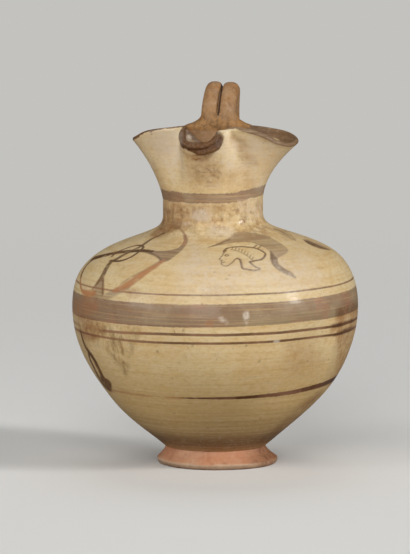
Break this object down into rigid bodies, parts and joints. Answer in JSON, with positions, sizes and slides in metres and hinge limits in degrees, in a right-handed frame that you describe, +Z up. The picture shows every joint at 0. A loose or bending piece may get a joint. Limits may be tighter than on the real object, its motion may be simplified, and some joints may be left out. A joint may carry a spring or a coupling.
{
  "type": "trefoil-mouthed jug",
  "caption": "Wheel-thrown pottery pouring jug with a pinched trefoil mouth, a raised double-roll handle, a wide belly painted in brown bands and a ring foot.",
  "frame": {"origin": "centre of the ring foot's standing plane, on the vessel's axis", "axes": "+Z up along the vessel's axis; -Y toward the pouring spout; +X to the right of someone who faces the spout"},
  "size_m": [0.1862, 0.1862, 0.2445],
  "materials": {
    "painted_slip": "matt cream slip on fired clay",
    "bare_clay": "matt unslipped fired clay",
    "handle_clay": "matt worn slip on fired clay"
  },
  "bodies": {
    "root": {"foot_ring": "bare_clay", "body": "painted_slip", "neck_and_mouth": "painted_slip", "neck_luting_fillet": "painted_slip", "handle_left_roll": "handle_clay", "handle_right_roll": "handle_clay", "handle_rim_saddle": "handle_clay", "handle_shoulder_pad": "handle_clay"}
  },
  "joints": []
}
